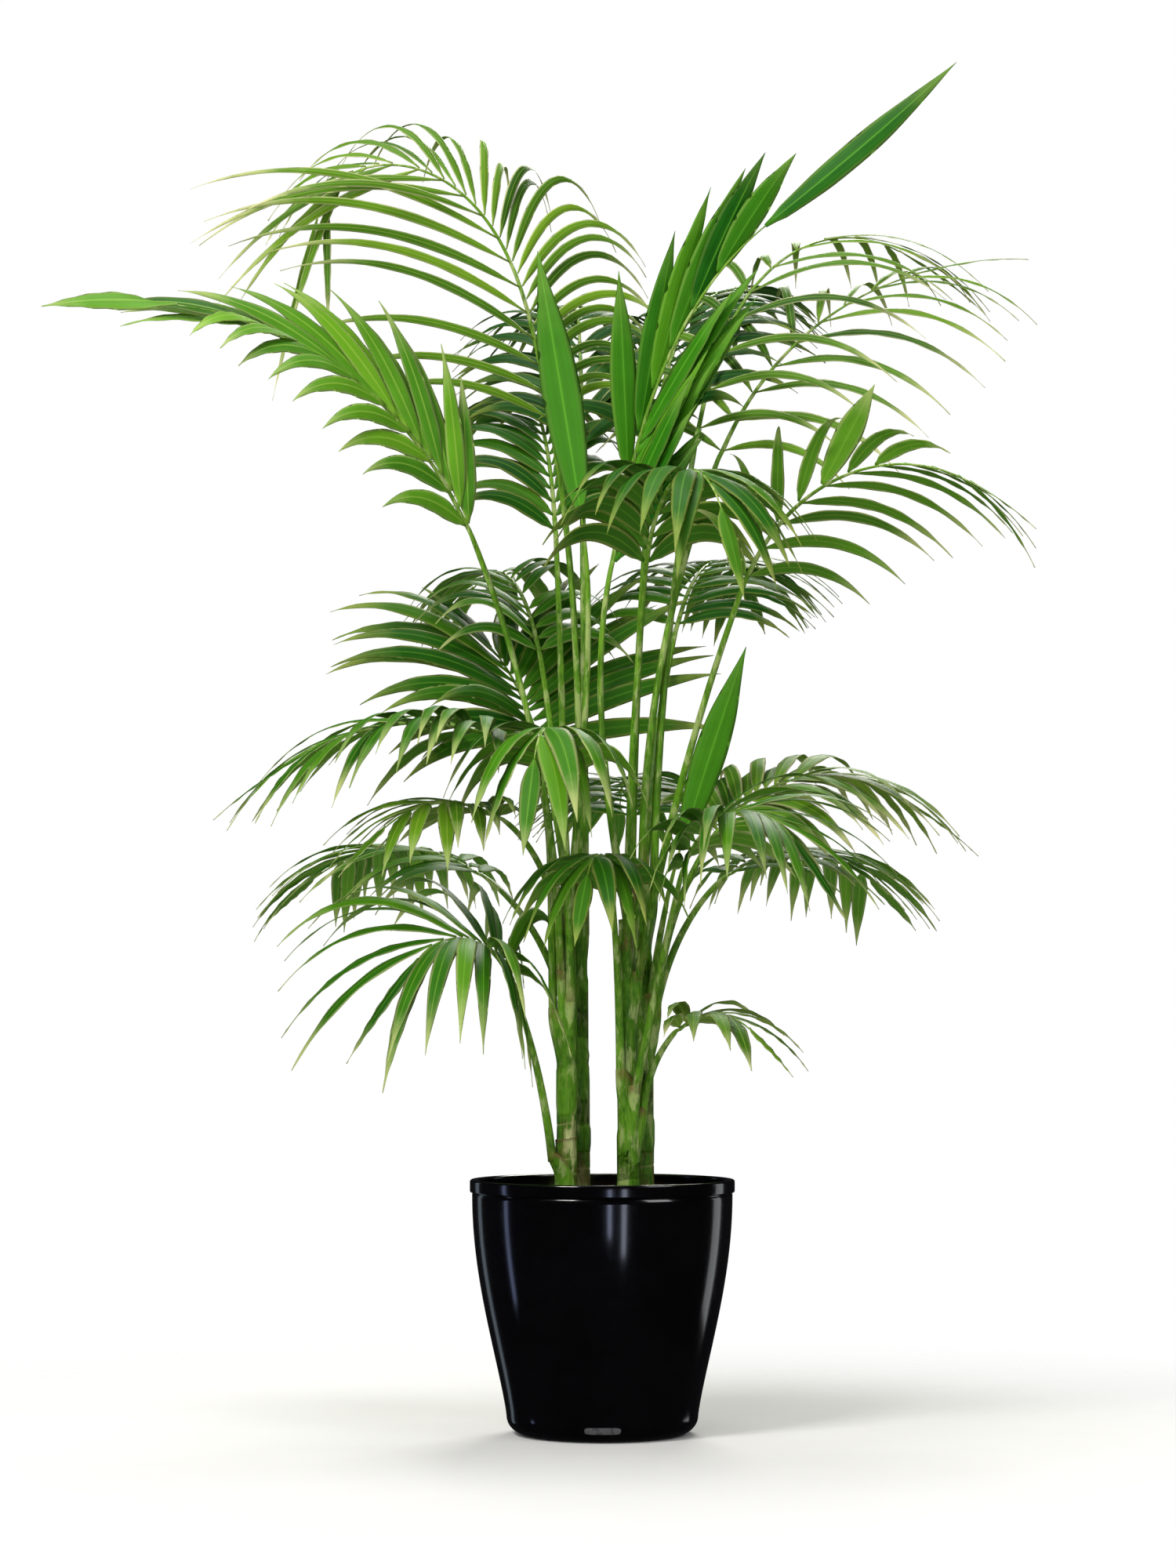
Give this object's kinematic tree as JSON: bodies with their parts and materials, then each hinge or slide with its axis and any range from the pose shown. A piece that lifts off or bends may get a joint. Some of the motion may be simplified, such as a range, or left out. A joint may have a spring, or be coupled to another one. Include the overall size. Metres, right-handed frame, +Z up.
{
  "type": "potted palm",
  "caption": "Kentia palm with slender green stems and arching feather fronds of drooping leaflets, growing from soil in a tapered round glossy black planter.",
  "frame": {"origin": "centre of the planter's flat underside, on the floor", "axes": "+Z up along the stems; the plant's front looks towards -Y, so +X is to the right as seen from the front"},
  "size_m": [1.3067, 1.0962, 1.7901],
  "materials": {
    "pot_gloss_black": "high gloss black",
    "soil_brown": "matte potting soil with bark",
    "stem_green": "smooth green sheaths with ring scars",
    "stalk_green": "smooth yellow green",
    "leaf_green": "satin leaf, dark green",
    "leaf_young": "satin leaf, light green"
  },
  "bodies": {
    "root": {"pot": "pot_gloss_black", "soil": "soil_brown", "stem_left_front": "stem_green", "stem_left_rear": "stem_green", "stem_right_front": "stem_green", "stem_right_rear": "stem_green", "arch_left_stalk": "stalk_green", "arch_left_blade": "leaf_green", "reach_left_stalk": "stalk_green", "reach_left_blade": "leaf_green", "young_centre_stalk": "stalk_green", "young_centre_blade": "leaf_young", "spear_right_stalk": "stalk_green", "spear_right_blade": "leaf_young", "upper_right_stalk": "stalk_green", "upper_right_blade": "leaf_green", "high_right_stalk": "stalk_green", "high_right_blade": "leaf_green", "side_right_stalk": "stalk_green", "side_right_blade": "leaf_green", "facing_front_stalk": "stalk_green", "facing_front_blade": "leaf_green", "fan_middle_stalk": "stalk_green", "fan_middle_blade": "leaf_green", "mid_left_stalk": "stalk_green", "mid_left_blade": "leaf_green", "facing_low_stalk": "stalk_green", "facing_low_blade": "leaf_green", "small_left_stalk": "stalk_green", "small_left_blade": "leaf_green", "mid_right_stalk": "stalk_green", "mid_right_blade": "leaf_green", "mid_right_front_stalk": "stalk_green", "mid_right_front_blade": "leaf_green", "facing_small_stalk": "stalk_green", "facing_small_blade": "leaf_green", "young_right_stalk": "stalk_green", "young_right_blade": "leaf_young", "low_left_stalk": "stalk_green", "low_left_blade": "leaf_green", "low_right_stalk": "stalk_green", "low_right_blade": "leaf_green", "rear_top_stalk": "stalk_green", "rear_top_blade": "leaf_green", "rear_top_right_stalk": "stalk_green", "rear_top_right_blade": "leaf_green", "rear_top_left_stalk": "stalk_green", "rear_top_left_blade": "leaf_green", "rear_middle_right_stalk": "stalk_green", "rear_middle_right_blade": "leaf_green", "rear_middle_left_stalk": "stalk_green", "rear_middle_left_blade": "leaf_green", "rear_low_stalk": "stalk_green", "rear_low_blade": "leaf_green", "rear_low_left_stalk": "stalk_green", "rear_low_left_blade": "leaf_green", "rear_low_right_stalk": "stalk_green", "rear_low_right_blade": "leaf_green"}
  },
  "joints": []
}
